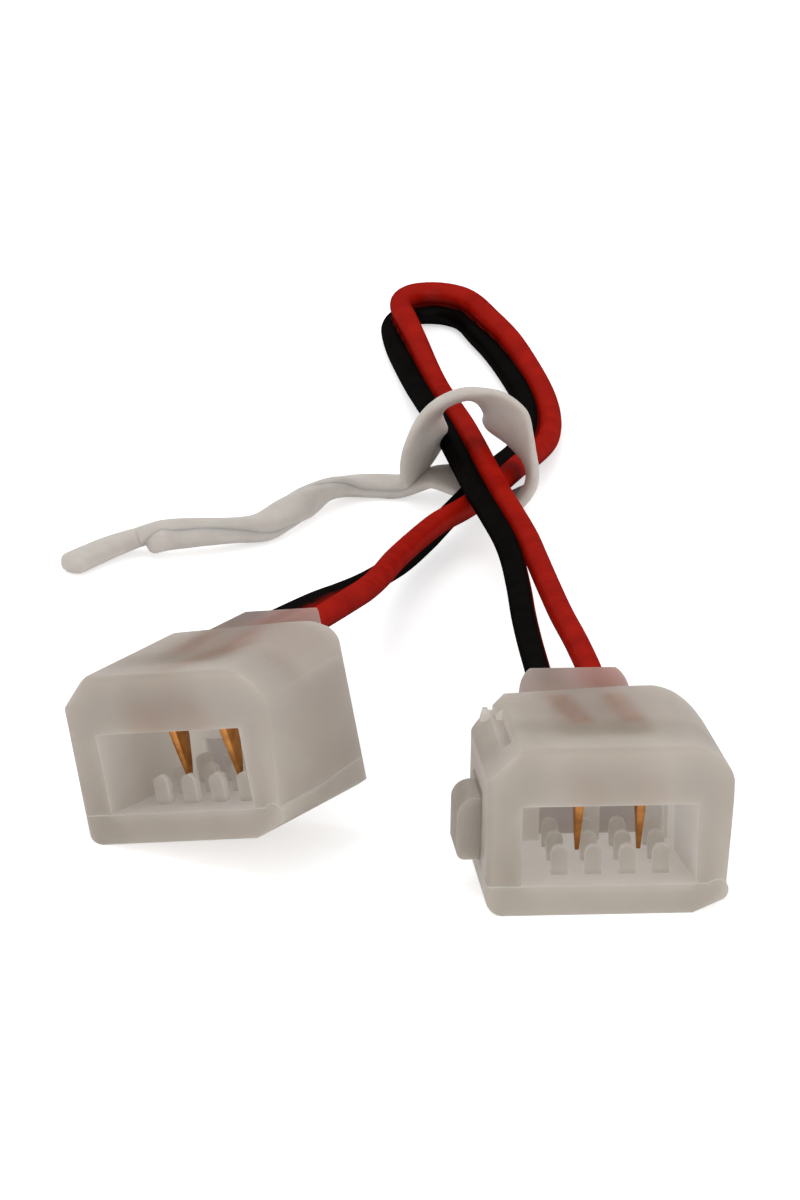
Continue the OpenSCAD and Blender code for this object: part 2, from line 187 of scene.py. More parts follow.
# Soft sided box in a housing's own frame, for what shows faintly through its plastic and for
# painted light and shade
soft_box, given, result = group_tree(
    "box_for_tints_and_light",
    [("Vector", "NodeSocketVector", None), ("Centre", "NodeSocketVector", None),
     ("Turn", "NodeSocketFloat", 0.0), ("Half X", "NodeSocketFloat", 1.0),
     ("Half Y", "NodeSocketFloat", 1.0), ("Half Z", "NodeSocketFloat", 1.0),
     ("Soft", "NodeSocketFloat", 0.5)],
    [("Mask", "NodeSocketFloat")])
moved = wire_up(soft_box, "ShaderNodeVectorMath", {0: given.outputs["Vector"],
                1: given.outputs["Centre"]}, operation="SUBTRACT")
turned = wire_up(soft_box, "ShaderNodeVectorRotate", {"Vector": moved.outputs[0],
                 "Angle": given.outputs["Turn"]}, rotation_type="Z_AXIS")
parts = wire_up(soft_box, "ShaderNodeSeparateXYZ", {0: turned.outputs[0]})
total = None
for axis, half in (("X", "Half X"), ("Y", "Half Y"), ("Z", "Half Z")):
    size = number(soft_box, "ABSOLUTE", parts.outputs[axis])
    past = number(soft_box, "SUBTRACT", size, given.outputs[half])
    fade = wire_up(soft_box, "ShaderNodeMapRange", {"Value": past, "From Min": 0.0,
                   "From Max": given.outputs["Soft"], "To Min": 1.0, "To Max": 0.0},
                   interpolation_type="SMOOTHSTEP").outputs[0]
    total = fade if total is None else number(soft_box, "MULTIPLY", total, fade)
soft_box.links.new(total, result.inputs["Mask"])

# Cloudiness of the moulded plastic: slow flow marks, a fine grain and faint waves
cloud, given, result = group_tree(
    "milky_flow",
    [("Vector", "NodeSocketVector", None), ("Scale", "NodeSocketFloat", 1.0)],
    [("Cloud", "NodeSocketFloat"), ("Grain", "NodeSocketFloat"),
     ("Height", "NodeSocketFloat")])
scaled = wire_up(cloud, "ShaderNodeVectorMath", {0: given.outputs["Vector"],
                 "Scale": given.outputs["Scale"]}, operation="SCALE")
slow = wire_up(cloud, "ShaderNodeTexNoise", {"Vector": scaled.outputs[0], "Scale": 0.22,
               "Detail": 3.0, "Distortion": 0.6})
fine = wire_up(cloud, "ShaderNodeTexNoise", {"Vector": scaled.outputs[0], "Scale": 3.5,
               "Detail": 2.0})
wavy = wire_up(cloud, "ShaderNodeTexNoise", {"Vector": scaled.outputs[0], "Scale": 0.55,
               "Detail": 1.5})
cloud.links.new(slow.outputs[0], result.inputs["Cloud"])
cloud.links.new(fine.outputs[0], result.inputs["Grain"])
high = number(cloud, "MULTIPLY_ADD", fine.outputs[0], 0.12)
cloud.links.new(wavy.outputs[0], high.node.inputs[2])
cloud.links.new(high, result.inputs["Height"])


def own_millimetres(tree, left):
    """Object coordinates turned back into a housing's own frame, in millimetres."""
    coords = wire_up(tree, "ShaderNodeTexCoord")
    if left:
        spot, turn = LEFT_PLACE, LEFT_TURN
    else:
        spot, turn = Vector((0, FRONT, 0)) * MM, (0, 0, 0)
    return wire_up(tree, "ShaderNodeMapping", {"Vector": coords.outputs["Object"],
                   "Location": spot, "Rotation": turn, "Scale": (MM, MM, MM)},
                   vector_type="TEXTURE").outputs[0]


def milky_plastic(name, left, colour, deep, tints_and_painted_light, rough=MOULD_ROUGH):
    """Translucent moulded plastic, with tints where contacts or cores show through and with
    painted light and shade. Each tint is a centre, a turn in degrees, half sizes, softness, a
    colour and a share."""
    material, tree = new_finish(name)
    vector = own_millimetres(tree, left)
    flow = wire_up(tree, "ShaderNodeGroup", node_tree=cloud)
    tree.links.new(vector, flow.inputs["Vector"])
    flow.inputs["Scale"].default_value = 1.0
    cloudy = wire_up(tree, "ShaderNodeMapRange", {"Value": flow.outputs["Cloud"],
                     "From Min": 0.32, "From Max": 0.68})
    seen = blended(tree, cloudy.outputs[0], deep, colour)
    for centre, turn, half, soft, tint_or_light, amount in tints_and_painted_light:
        box = wire_up(tree, "ShaderNodeGroup", node_tree=soft_box)
        tree.links.new(vector, box.inputs["Vector"])
        box.inputs["Centre"].default_value = centre
        box.inputs["Turn"].default_value = math.radians(turn)
        for axis, value in zip("XYZ", half):
            box.inputs["Half " + axis].default_value = value
        box.inputs["Soft"].default_value = soft
        share = number(tree, "MULTIPLY", box.outputs[0], amount)
        seen = blended(tree, share, seen, tint_or_light)
    gloss = wire_up(tree, "ShaderNodeMapRange", {"Value": flow.outputs["Grain"],
                    "From Min": 0.3, "From Max": 0.7, "To Min": rough - 0.06,
                    "To Max": rough + 0.1})
    bump = wire_up(tree, "ShaderNodeBump", {"Height": flow.outputs["Height"],
                   "Strength": 0.35, "Distance": 0.00012})
    skin = wire_up(tree, "ShaderNodeBsdfPrincipled", {
        "Base Color": seen, "Roughness": gloss.outputs[0], "Normal": bump.outputs[0],
        "IOR": 1.49, "Specular IOR Level": 0.3, "Subsurface Weight": 1.0,
        "Subsurface Radius": (1.0, 0.86, 0.72), "Subsurface Scale": 0.005,
        "Subsurface Anisotropy": 0.3})
    pale = wire_up(tree, "ShaderNodeGamma", {"Color": seen, "Gamma": THROUGH_GAMMA})
    through = wire_up(tree, "ShaderNodeBsdfTranslucent", {"Color": pale.outputs[0]})
    milky = wire_up(tree, "ShaderNodeMixShader", {0: THROUGH_SHARE, 1: skin.outputs[0],
                    2: through.outputs[0]})
    wire_up(tree, "ShaderNodeOutputMaterial", {"Surface": milky.outputs[0]})
    return material


def milky_tones(left):
    """The two tones that the plastic drifts between. The left one is a little darker."""
    if left:
        return (0.39, 0.335, 0.275), (0.33, 0.28, 0.23)
    return (0.43, 0.375, 0.31), (0.37, 0.32, 0.26)


def own_frame(left):
    """Where a housing's own frame stands in the scene."""
    if not left:
        return Matrix.Translation(Vector((0, FRONT, 0)) * MM)
    return (Matrix.Translation(LEFT_PLACE) @ Matrix.Rotation(LEFT_TURN[2], 4, "Z")
            @ Matrix.Rotation(LEFT_TURN[1], 4, "Y"))


def softened(node, name, width, segments, left=False, seam=(0, 0)):
    """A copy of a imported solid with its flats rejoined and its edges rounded. Edges that
    lie between the two heights of seam stay nearly sharp, so that a shut seam is fine."""
    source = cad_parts[node]
    mesh = source.data.copy()
    mesh.name = name
    shape = bmesh.new()
    shape.from_mesh(mesh)
    bmesh.ops.remove_doubles(shape, verts=shape.verts, dist=JOINED_WITHIN)
    bmesh.ops.dissolve_limit(shape, angle_limit=FLAT_WITHIN, verts=shape.verts,
                             edges=shape.edges)
    weight = shape.edges.layers.float.new("bevel_weight_edge")
    into = own_frame(left).inverted()
    for edge in shape.edges:
        if len(edge.link_faces) == 2 and edge.calc_face_angle() > ROUNDED_FROM:
            heights = [(into @ vert.co).z / MM for vert in edge.verts]
            fine = all(seam[0] < height < seam[1] for height in heights)
            edge[weight] = SEAM_SHARE if fine else 1.0
    shape.to_mesh(mesh)
    shape.free()
    piece = bpy.data.objects.new(name, mesh)
    scene.collection.objects.link(piece)
    bevel = piece.modifiers.new("rounded", "BEVEL")
    bevel.width = width * MM
    bevel.segments = segments
    bevel.limit_method = "WEIGHT"
    bevel.use_clamp_overlap = True
    settled = bpy.data.meshes.new_from_object(
        piece.evaluated_get(bpy.context.evaluated_depsgraph_get()))
    piece.modifiers.clear()
    piece.data = settled
    for face in settled.polygons:
        face.use_smooth = True
    settled.set_sharp_from_angle(angle=SMOOTH_UP_TO)
    return piece


STREAK_SEEN = (0.36, 0.115, 0.06)
# Painted shade for the roof
ROOF_PAINTED_SHADE = (0.36, 0.27, 0.20)
BROWN_SEEN = (0.30, 0.15, 0.09)
# Painted shade for the pockets behind the mouth
POCKET_PAINTED_SHADE = (0.15, 0.085, 0.055)
# Painted shade for the sides of the housings and the tray's latch side
SIDE_PAINTED_SHADE = (0.27, 0.225, 0.18)
WARM_SEEN = (0.34, 0.19, 0.12)
# Painted light: a pale tone that lifts the mouth, the rear wall and parts of the roof out of
# their shade
PAINTED_LIGHT = (0.86, 0.79, 0.70)
# Roof tints: copper seen through the plastic, with painted light and painted shade
roof_tints_and_painted_light = [
    # Painted light on the rear of the roof
    ((0, 9.5, 11.6), 0, (8.0, 3.0, 1.4), 2.2, PAINTED_LIGHT, 0.35),
    ((-1.85, 7.7, 10.6), -12, (0.30, 2.3, 3.0), 1.0, STREAK_SEEN, 0.65),
    ((1.65, 7.8, 10.6), -9, (0.30, 2.3, 3.0), 1.0, STREAK_SEEN, 0.65),
    ((-1.5, 0.2, 8.1), 0, (0.5, 0.9, 0.6), 1.1, STREAK_SEEN, 0.2),
    ((2.5, 0.2, 8.2), 0, (0.5, 0.9, 0.6), 1.1, STREAK_SEEN, 0.2),
    # Painted shade laid over the roof
    ((0, 6.5, 12.0), 0, (9.0, 8.0, 0.9), 1.2, ROOF_PAINTED_SHADE, 0.25),
    # Painted shade on the left side wall
    ((-9.0, 6.0, 5.5), 0, (1.0, 7.0, 6.0), 0.5, SIDE_PAINTED_SHADE, 0.6),
]
# Painted light on the rear wall of the mouth, and painted shade in the two pockets behind it
pocket_painted_light_and_shade = [((0, 7.6, 4.6), 0, (5.4, 0.9, 2.6), 0.6, PAINTED_LIGHT, 0.6),
                 ((-2.2, 10.9, 3.2), 0, (1.4, 1.6, 1.5), 0.6, POCKET_PAINTED_SHADE, 0.8),
                 ((1.7, 10.9, 3.2), 0, (1.4, 1.6, 1.5), 0.6, POCKET_PAINTED_SHADE, 0.8)]
# Painted light at the front of the roof and painted shade on the right side
right_painted_light_and_shade = [((0, 0, 9.2), 0, (3.5, 1.0, 0.8), 2.0, PAINTED_LIGHT, 0.16),
                ((8.0, 6.0, 6.5), 0, (1.2, 8.0, 5.0), 3.0, SIDE_PAINTED_SHADE, 0.14)]
left_tints_and_painted_light = [((0.3, 9.3, 11.0), -8, (2.6, 2.6, 2.2), 2.6, WARM_SEEN, 0.4),
               ((1.35, 4.2, 11.6), 22, (0.35, 3.2, 1.6), 1.2, BROWN_SEEN, 0.6),
               ((-0.3, 0.2, 8.4), 0, (2.4, 0.9, 0.5), 1.3, BROWN_SEEN, 0.25),
               ((4.8, 8.0, 11.4), 0, (1.8, 2.6, 1.0), 2.0, WARM_SEEN, 0.22),
               # Painted light inside the mouth
               ((0, 5.2, 4.6), 0, (5.2, 4.2, 2.6), 0.5, PAINTED_LIGHT, 0.9)]
for side, left in (("right", False), ("left", True)):
    housing = softened("shell_" + side, "housing_" + side, HOUSING_EDGE, 4, left, SEAM)
    housing.data.materials.clear()
    housing.data.materials.append(milky_plastic(
        "housing_" + side, left, *milky_tones(left),
        roof_tints_and_painted_light + (left_tints_and_painted_light if left else right_painted_light_and_shade) + pocket_painted_light_and_shade))
    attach(housing, "jumper")
    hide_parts("shell_" + side)

# Trays
# The hinged floor of each housing, moulded in one with twelve round topped posts that
# carry the strip, a bead along the hinge side and a latch arm with a finger tab.
TRAY_EDGE = 0.16
# Painted light: a paler tone for the posts
POST_PAINTED_LIGHT = (0.66, 0.60, 0.53)
# Painted light on the posts and painted shade on the latch side
tray_painted_light_and_shade = [((0, 5.0, 3.4), 0, (5.0, 4.0, 1.0), 0.5, POST_PAINTED_LIGHT, 0.8),
               ((-9.4, 6.0, 5.5), 0, (1.2, 7.0, 6.0), 0.5, SIDE_PAINTED_SHADE, 0.9)]
for side, left in (("right", False), ("left", True)):
    tray = softened("tray_" + side, "tray_" + side, TRAY_EDGE, 3, left, SEAM)
    tray.data.materials.clear()
    tray.data.materials.append(milky_plastic(
        "tray_" + side, left, *milky_tones(left), tray_painted_light_and_shade))
    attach(tray, "tray_" + side)
    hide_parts("tray_" + side)

# Seals
# A soft plug moulded round the two cores behind each housing. The red core shows
# through it as a pink cast, and the left seal is given darker tones than the right.
SEAL_EDGE = 0.7
SEAL_ROUGH = 0.42
PINK_SEEN = (0.46, 0.17, 0.13)
DARK_CORE_SEEN = (0.30, 0.15, 0.13)
COPPER_SEEN = (0.34, 0.17, 0.10)
seal_tones = {"right": ((0.52, 0.40, 0.34), (0.46, 0.34, 0.29)),
              "left": ((0.30, 0.245, 0.21), (0.25, 0.20, 0.175))}
seal_stains = [((0.9, 15.0, 10.0), 0, (1.1, 2.6, 3.0), 1.4, PINK_SEEN, 0.7),
               ((-2.6, 15.5, 10.0), 0, (0.6, 1.6, 3.0), 1.2, DARK_CORE_SEEN, 0.35),
               ((-2.3, 11.6, 11.0), -14, (0.6, 1.2, 2.6), 1.5, COPPER_SEEN, 0.4),
               ((1.6, 11.6, 11.0), -10, (0.6, 1.2, 2.6), 1.5, COPPER_SEEN, 0.4)]
for side, left in (("right", False), ("left", True)):
    seal = softened("seal_" + side, "seal_" + side, SEAL_EDGE, 4)
    seal.data.materials.clear()
    seal.data.materials.append(milky_plastic(
        "seal_" + side, left, *seal_tones[side], seal_stains, SEAL_ROUGH))
    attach(seal, "jumper")
    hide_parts("seal_" + side)

# Contacts
# Two stamped copper strips in each housing, with a crimp barrel at the rear and a
# tapering blade that hangs down in the mouth to pierce the strip's pads.
CONTACT_EDGE = 0.05
blade_tones = (0.56, 0.25, 0.07), (0.36, 0.14, 0.04)
strand_tones = (0.80, 0.38, 0.20), (0.55, 0.22, 0.10)
BLADE_ROUGH = 0.34
STRAND_ROUGH = 0.36


def worn_metal(name, left, colour, dark, rough):
    """Stamped or stranded copper with faint upright lines and darker, dull places."""
    material, tree = new_finish(name)
    vector = own_millimetres(tree, left)
    rub = wire_up(tree, "ShaderNodeTexNoise", {"Vector": vector, "Scale": 0.9, "Detail": 2.0})
    drawn = wire_up(tree, "ShaderNodeMapping", {"Vector": vector, "Scale": (1, 1, 0.08)})
    lines = wire_up(tree, "ShaderNodeTexNoise", {"Vector": drawn.outputs[0], "Scale": 18.0,
                    "Detail": 2.0})
    worn = wire_up(tree, "ShaderNodeMapRange", {"Value": rub.outputs[0],
                   "From Min": 0.35, "From Max": 0.65})
    tint = blended(tree, worn.outputs[0], dark, colour)
    gloss = wire_up(tree, "ShaderNodeMapRange", {"Value": lines.outputs[0],
                    "To Min": rough - 0.08, "To Max": rough + 0.12})
    bump = wire_up(tree, "ShaderNodeBump", {"Height": lines.outputs[0], "Strength": 0.3,
                   "Distance": 0.00003})
    skin = wire_up(tree, "ShaderNodeBsdfPrincipled", {
        "Base Color": tint, "Roughness": gloss.outputs[0],
        "Normal": bump.outputs[0], "Metallic": 1.0})
    wire_up(tree, "ShaderNodeOutputMaterial", {"Surface": skin.outputs[0]})
    return material


for side, left in (("right", False), ("left", True)):
    stamped = worn_metal("contact_" + side, left, *blade_tones, BLADE_ROUGH)
    stranded = worn_metal("strands_" + side, left, *strand_tones, STRAND_ROUGH)
    for core in ("red", "black"):
        contact = softened("terminal_%s_%s" % (core, side), "contact_%s_%s" % (core, side),
                           CONTACT_EDGE, 2)
        contact.data.materials.clear()
        contact.data.materials.append(stamped)
        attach(contact, "jumper")
        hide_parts("terminal_%s_%s" % (core, side))
        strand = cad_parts["strands_%s_%s" % (core, side)]
        for material_slot in strand.material_slots:
            material_slot.material = stranded

# Cable
# Two bonded cores of flexible insulated wire that run from one housing to the other.
# They part near the housings, where the thin red web along the black core shows.
CORE = 1.65
CORE_SIDES = 28
CORE_STEP = 0.55
WEB_HEIGHT = 0.10
WEB_ANGLE = 0.24
WEB_RED_ANGLE = 0.50
WEB_FADE = 0.12
CURVE_STEPS = 24
NEAR_POINTS = 14
black_tones = (0.004, 0.003, 0.0026), (0.002, 0.0016, 0.0014)
red_tones = (0.42, 0.010, 0.0035), (0.33, 0.006, 0.002)
WEB_RED = (0.26, 0.012, 0.006)
BLACK_SHINE = 0.003
RED_SHINE = 0.008
EXIT_MIDDLE, EXIT_HALF, EXIT_HEIGHT = -0.9, 1.75, 9.9
EXIT_ENDS = (17.0, 12.4)
# Each row is the cable's middle, half the cores' distance and their turn in degrees
route = [
    (-0.9, 12.4, 9.9, 1.75, 0), (-0.9, 17, 9.9, 1.75, 0), (-0.85, 20.5, 9.8, 1.7, 0),
    (-0.7, 27, 9.3, 1.55, 0), (-0.4, 35, 8.35, 1.3, 0), (0.1, 44, 7.2, 1.05, 0),
    (0.55, 53, 6.1, 0.87, 0), (0.75, 60, 5.35, 0.83, 0), (0.6, 66, 4.9, 0.83, 0),
    (0.3, 72, 4.6, 0.83, 0), (0, 78, 4.5, 0.83, 0), (-0.25, 84, 4.4, 0.83, 0),
    (-0.35, 90, 3.9, 0.83, 0), (-0.4, 96, 3.1, 0.83, 0), (-0.4, 102, 2.2, 0.83, 0),
    (-0.42, 108, 1.4, 0.83, 0), (-0.5, 113.5, 1, 0.83, 5), (-0.75, 118.5, 1.2, 0.83, 22),
    (-0.95, 122.4, 1.55, 0.83, 50), (-0.95, 124.6, 1.68, 0.83, 68),
    (-0.4, 126.6, 1.7, 0.83, 80), (0.9, 127.95, 1.7, 0.83, 88), (2.7, 128, 1.7, 0.83, 95),
    (4.1, 126.9, 1.7, 0.83, 102), (4.85, 125.1, 1.68, 0.83, 110),
    (5.45, 122.3, 1.58, 0.83, 122), (6.4, 118, 1.35, 0.83, 145), (7.1, 112.5, 1.1, 0.83, 165),
    (7.5, 106.5, 0.95, 0.83, 176), (7.3, 101, 0.95, 0.83, 178), (6.5, 95.6, 1.15, 0.83, 175),
    (5.1, 90.6, 1.7, 0.83, 172), (3.4, 86.2, 2.2, 0.83, 168), (1.7, 82, 2.45, 0.83, 165),
    (0, 78.2, 2.5, 0.83, 158), (-1.9, 74.6, 2.4, 0.83, 145), (-4, 70.6, 2.4, 0.83, 122),
    (-6.3, 65, 2.8, 0.83, 118), (-8.7, 57, 4.3, 0.83, 132), (-10.7, 48.5, 6.3, 0.88, 150),
    (-12.7, 40, 8.5, 1.05, 162), (-14.9, 32.4, 10.4, 1.4, 166)]
route = np.array(route, float)


def core_points(side):
    """The points of one core, as the solids have them: side is 1 for red, -1 for black."""
    points = []
    for i, (x, y, z, half, angle) in enumerate(route):
        along = route[min(i + 1, len(route) - 1), :3] - route[max(i - 1, 0), :3]
        beside = np.array([along[1], -along[0], 0.0])
        beside /= np.linalg.norm(beside)
        over = np.cross(beside, along / np.linalg.norm(along))
        a = math.radians(angle)
        points.append(np.array([x, y + FRONT, z])
                      + side * half * (math.cos(a) * beside + math.sin(a) * over))
    for y in EXIT_ENDS:
        inside = Vector((EXIT_MIDDLE + side * EXIT_HALF, y, EXIT_HEIGHT)) * MM
        points.append(np.array(own_frame(True) @ inside) / MM)
    return np.array(points)


def smooth_line(points, spacing):
    """Points on a smooth curve through the given ones, evenly spaced."""
    ends = [2 * points[0] - points[1], 2 * points[-1] - points[-2]]
    padded = np.vstack([ends[:1], points, ends[1:]])
    fine = []
    for a, b, c, d in zip(padded, padded[1:], padded[2:], padded[3:]):
        for t in np.linspace(0, 1, CURVE_STEPS, endpoint=False):
            fine.append(0.5 * (2 * b + (c - a) * t + (2 * a - 5 * b + 4 * c - d) * t * t
                               + (3 * b - a - 3 * c + d) * t ** 3))
    fine.append(points[-1])
    fine = np.array(fine)
    steps = np.linalg.norm(np.diff(fine[:, :3], axis=0), axis=1)
    far = np.concatenate([[0], np.cumsum(steps)])
    marks = np.linspace(0, far[-1], max(2, int(round(far[-1] / spacing))))
    return np.stack([np.interp(marks, far, column) for column in fine.T], axis=1)


def turning_frames(line):
    """Two directions across the line at each point, turning as little as they can."""
    along = np.gradient(line, axis=0)
    along /= np.linalg.norm(along, axis=1)[:, None]
    normal = np.array((0, 0, 1), float)
    frames = []
    for t in along:
        normal = normal - normal.dot(t) * t
        normal /= np.linalg.norm(normal)
        frames.append((normal.copy(), np.cross(t, normal)))
    return frames


def closed_skin(name, rings):
    """A closed, smooth skin over rings that all hold the same number of points."""
    shape = bmesh.new()
    loops = [[shape.verts.new(Vector(point * MM)) for point in ring] for ring in rings]
    for one, two in zip(loops, loops[1:]):
        for k in range(len(one)):
            j = (k + 1) % len(one)
            shape.faces.new((one[k], one[j], two[j], two[k]))
    shape.faces.new(list(reversed(loops[0])))
    shape.faces.new(loops[-1])
    bmesh.ops.recalc_face_normals(shape, faces=shape.faces)
    mesh = bpy.data.meshes.new(name)
    shape.to_mesh(mesh)
    shape.free()
    for face in mesh.polygons:
        face.use_smooth = len(face.vertices) == 4
    piece = bpy.data.objects.new(name, mesh)
    scene.collection.objects.link(piece)
    return piece


def insulation(name, colour, dark, shine, web=None):
    """Flexible insulation with a faint sheen and painted shade, darker where it faces the table.
    The web is a colour that the piece's own web attribute brings in."""
    material, tree = new_finish(name)
    coords = wire_up(tree, "ShaderNodeTexCoord")
    rub = wire_up(tree, "ShaderNodeTexNoise", {"Vector": coords.outputs["Object"],
                  "Scale": 420.0, "Detail": 3.0})
    fine = wire_up(tree, "ShaderNodeTexNoise", {"Vector": coords.outputs["Object"],
                   "Scale": 2600.0, "Detail": 2.0})
    worn = wire_up(tree, "ShaderNodeMapRange", {"Value": rub.outputs[0],
                   "From Min": 0.35, "From Max": 0.65})
    seen = blended(tree, worn.outputs[0], dark, colour)
    if web:
        mark = wire_up(tree, "ShaderNodeAttribute", attribute_name="web")
        seen = blended(tree, mark.outputs["Fac"], seen, web)
    gloss = wire_up(tree, "ShaderNodeMapRange", {"Value": rub.outputs[0],
                    "To Min": 0.30, "To Max": 0.44})
    bump = wire_up(tree, "ShaderNodeBump", {"Height": fine.outputs[0], "Strength": 0.15,
                   "Distance": 0.00003})
    # Painted shade: the colour is darkened where the surface faces down, towards the table
    rises = wire_up(tree, "ShaderNodeSeparateXYZ", {0: coords.outputs["Normal"]})
    shaded = wire_up(tree, "ShaderNodeMapRange", {"Value": rises.outputs["Z"],
                     "From Min": -0.7, "From Max": 0.3, "To Min": 0.6, "To Max": 1.0},
                     interpolation_type="SMOOTHSTEP")
    body = wire_up(tree, "ShaderNodeVectorMath", {0: seen}, operation="SCALE")
    tree.links.new(shaded.outputs[0], body.inputs["Scale"])
    skin = wire_up(tree, "ShaderNodeBsdfPrincipled", {
        "Base Color": body.outputs[0], "Roughness": gloss.outputs[0],
        "Normal": bump.outputs[0], "IOR": 1.5, "Specular IOR Level": 0.0})
    sheen = wire_up(tree, "ShaderNodeBsdfGlossy", {"Color": WHITE,
                    "Roughness": gloss.outputs[0], "Normal": bump.outputs[0]})
    both = wire_up(tree, "ShaderNodeMixShader", {0: shine, 1: skin.outputs[0],
                   2: sheen.outputs[0]})
    wire_up(tree, "ShaderNodeOutputMaterial", {"Surface": both.outputs[0]})
    return material


red_line = smooth_line(core_points(1), CORE_STEP)
black_line = smooth_line(core_points(-1), CORE_STEP)


def nearest_side(line, other):
    """For each point of line, the unit direction to the closest point of the other."""
    ways = []
    for i, p in enumerate(line):
        share = i / (len(line) - 1)
        middle = int(share * (len(other) - 1))
        near = other[max(0, middle - NEAR_POINTS):middle + NEAR_POINTS + 1]
        way = near[np.argmin(np.linalg.norm(near - p, axis=1))] - p
        ways.append(way / np.linalg.norm(way))
    return ways


def around(n, b, k):
    """The unit direction out of a core at place k of its round section."""
    angle = 2 * math.pi * k / CORE_SIDES
    return math.cos(angle) * n + math.sin(angle) * b


def angle_between(one, two):
    return math.acos(max(-1.0, min(1.0, float(one.dot(two)))))


def core_skin(name, line, ways, ridge):
    """A round core, with a ridge on the side that ways point to."""
    rings = []
    for centre, (n, b), way in zip(line, turning_frames(line), ways):
        ring = []
        for k in range(CORE_SIDES):
            out = around(n, b, k)
            height = ridge * math.exp(-(angle_between(out, way) / WEB_ANGLE) ** 2)
            ring.append(centre + (CORE / 2 + height) * out)
        rings.append(ring)
    return closed_skin(name, rings)


black_ways = nearest_side(black_line, red_line)
black_core = core_skin("core_black", black_line, black_ways, WEB_HEIGHT)
red_core = core_skin("core_red", red_line, nearest_side(red_line, black_line), 0.0)
web = black_core.data.attributes.new("web", "FLOAT", "POINT")
marks = []
for (n, b), way in zip(turning_frames(black_line), black_ways):
    for k in range(CORE_SIDES):
        facing = angle_between(around(n, b, k), way)
        marks.append(max(0.0, min(1.0, (WEB_RED_ANGLE - facing) / WEB_FADE)))
web.data.foreach_set("value", marks)
black_core.data.materials.append(insulation(
    "insulation_black", *black_tones, BLACK_SHINE, WEB_RED))
red_core.data.materials.append(insulation("insulation_red", *red_tones, RED_SHINE))

# Twist tie
# A flat strip of plastic with a wire inside, bent by hand into a ring round the two passes
# of the cable. Its two ends lie side by side in a tail on the table.
TIE_THICK = 0.58
TAIL_END_THICK = 0.72
TAIL_HALF = 1.1
TIE_APART = 0.2
END_SPREAD = 1.2
THICK_ROWS = 4
SPREAD_ROWS = 3
RING_THICK = 0.5
RING_MIDDLE_X, RING_MIDDLE_Z = 0.35, 4.6
RING_LOW = 1.5
TABLE_GAP = 0.06
TIE_STEP = 0.3
TIE_SIDES = 24
TIE_END = 0.8
TIE_SQUARE = 0.8
TIE_END_FLAT = 0.6
TIE_END_LEAST = 0.02
tie_tones = (0.55, 0.50, 0.455), (0.70, 0.65, 0.595)
# Each row of the ring is a place, its flare in degrees and half the strip's width
ring = [
    (-3.85, 85.4, 1.6, 24, 1.7), (-3.45, 85.0, 2.6, 30, 2.3), (-3.2, 84.4, 3.9, 32, 2.4),
    (-3.15, 83.6, 5.2, 30, 2.3), (-2.95, 83.2, 6.9, 15, 1.9),
    (-1.9, 82.8, 8.2, 3, 1.6), (-0.1, 82.4, 8.9, 3, 1.6), (1.6, 82, 8.3, 22, 2.4),
    (2.6, 81.7, 7, 32, 2.7), (3.7, 81.4, 5.2, 18, 2.1), (4.4, 81.2, 3.5, 2, 1.7),
    (4.25, 81.4, 1.9, 0, 1.7), (3.3, 82.0, 0.85, 0, 2.0), (1.6, 83.0, 0.65, 0, 2.2),
    (-0.4, 84.2, 1.7, 28, 2.3), (-2.2, 85.3, 1.7, 26, 2.1)]
# Each row of the tail and tip is a place on the table and the strip's twist in degrees
tail = [
    (-4.7, 85.7, 0), (-6.5, 85.9, 0), (-8.4, 85.4, 8), (-10, 83.8, 35), (-11.3, 82.0, 75),
    (-12.6, 79.9, 115), (-14, 78, 150), (-15.7, 76.2, 178), (-17.9, 74.8, 198),
    (-20.4, 74, 214), (-22.9, 73.3, 222)]
tip = [(-24.8, 74.1, 200), (-26.6, 72.9, 188), (-28.4, 71.1, 182), (-30, 69.2, 180)]


def tie_strand(side, rows, spare):
    """Rows of one strip of the tail: place, way of its thickness, half sizes. Its end
    rows are thicker and stand further from the other strip, row by row."""
    spots, found = [], []
    thick = [TIE_THICK] * (len(rows) - THICK_ROWS) + [TAIL_END_THICK] * THICK_ROWS
    for i, (x, y, angle) in enumerate(rows):
        a = math.radians(angle)
        flat = (thick[i] + END_SPREAD * spare) * abs(math.cos(a))
        spots.append(np.array([x, y, TABLE_GAP + flat + TAIL_HALF * abs(math.sin(a))]))
    for i, (_, _, angle) in enumerate(rows):
        a = math.radians(angle)
        if i >= len(rows) - SPREAD_ROWS:
            spare = spare * END_SPREAD
        along = spots[min(i + 1, len(rows) - 1)] - spots[max(i - 1, 0)]
        beside = np.array([along[1], -along[0], 0.0])
        way = math.cos(a) * np.array([0, 0, 1.0]) + math.sin(a) * beside / np.linalg.norm(beside)
        found.append([*(spots[i] + side * spare * way), *(side * way), thick[i], TAIL_HALF])
    return found


def ring_strand():
    """The strip stands on edge round the cable and opens a little towards the camera.
    Its lowest rows turn flat, where it passes under the cable."""
    spots = np.array([row[:3] for row in ring])
    found = []
    for i, (x, y, z, flare, half) in enumerate(ring):
        inward = np.array([RING_MIDDLE_X - x, 0.0, RING_MIDDLE_Z - z])
        broad = np.array(look) if z > RING_LOW else np.array([0.0, 1.0, 0.0])
        inward -= inward.dot(broad) * broad
        inward /= np.linalg.norm(inward)
        f = math.radians(flare)
        broad = math.cos(f) * broad + math.sin(f) * inward
        way = np.cross(broad, spots[min(i + 1, len(ring) - 1)] - spots[max(i - 1, 0)])
        way *= -math.copysign(1.0, way.dot(inward)) / np.linalg.norm(way)
        found.append([x, y, z, *way, RING_THICK, half])
    return found


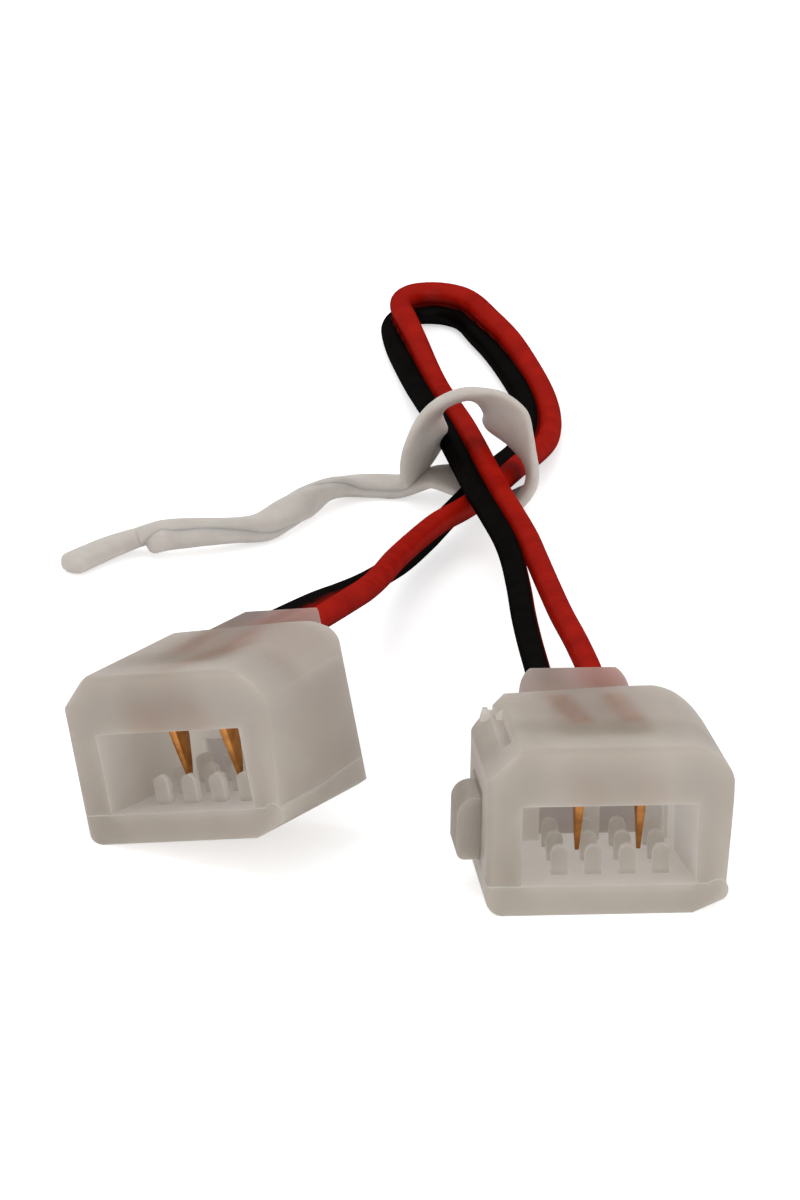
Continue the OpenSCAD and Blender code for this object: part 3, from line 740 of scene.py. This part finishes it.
def strip_skin(name, rows):
    """A flat strip with round edges, swept through rows and closed with round ends."""
    rows = smooth_line(np.array(rows, float), TIE_STEP)
    spots, ways, thin, wide = rows[:, :3], rows[:, 3:6], rows[:, 6], rows[:, 7]
    far = np.concatenate([[0], np.cumsum(np.linalg.norm(np.diff(spots, axis=0), axis=1))])
    loops = []
    for i, spot in enumerate(spots):
        along = spots[min(i + 1, len(spots) - 1)] - spots[max(i - 1, 0)]
        along /= np.linalg.norm(along)
        way = ways[i] - ways[i].dot(along) * along
        way /= np.linalg.norm(way)
        beside = np.cross(along, way)
        inward = min(far[i], far[-1] - far[i])
        close = math.sqrt(max(TIE_END_LEAST, 1 - (1 - min(1.0, inward / TIE_END)) ** 2))
        loop = []
        for k in range(TIE_SIDES):
            a = 2 * math.pi * k / TIE_SIDES
            u = math.copysign(abs(math.cos(a)) ** TIE_SQUARE, math.cos(a))
            v = math.copysign(abs(math.sin(a)) ** TIE_SQUARE, math.sin(a))
            u = u * thin[i] * close ** TIE_END_FLAT
            v = v * wide[i] * close
            loop.append(spot + u * way + v * beside)
        loops.append(loop)
    return closed_skin(name, loops)


tie_rows = (tie_strand(1, tail + [(-23.9, 72.3, 220)], TIE_APART)[::-1] + ring_strand()
            + tie_strand(-1, tail, TIE_APART) + tie_strand(-1, tip, 0.0))
for row in tie_rows:
    row[1] += FRONT
tie = strip_skin("twist_tie_strip", tie_rows)
material, tree = new_finish("coated_tie")
coords = wire_up(tree, "ShaderNodeTexCoord")
crease = wire_up(tree, "ShaderNodeTexNoise", {"Vector": coords.outputs["Object"],
                 "Scale": 700.0, "Detail": 4.0})
tint = blended(tree, crease.outputs[0], *tie_tones)
bump = wire_up(tree, "ShaderNodeBump", {"Height": crease.outputs[0], "Strength": 0.5,
               "Distance": 0.0001})
skin = wire_up(tree, "ShaderNodeBsdfPrincipled", {
    "Base Color": tint, "Normal": bump.outputs[0], "Roughness": 0.5,
    "Subsurface Weight": 0.4, "Subsurface Radius": (1.0, 0.9, 0.8),
    "Subsurface Scale": 0.0008})
wire_up(tree, "ShaderNodeOutputMaterial", {"Surface": skin.outputs[0]})
tie.data.materials.append(material)

# Each core joins the jumper and its imported solid is hidden
for core, name, line, pieces in ((red_core, "wire_red", red_line, [tie]),
                                 (black_core, "wire_black", black_line, [])):
    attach(core, "jumper")
    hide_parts(name)
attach(tie, "jumper")
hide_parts("twist_tie")
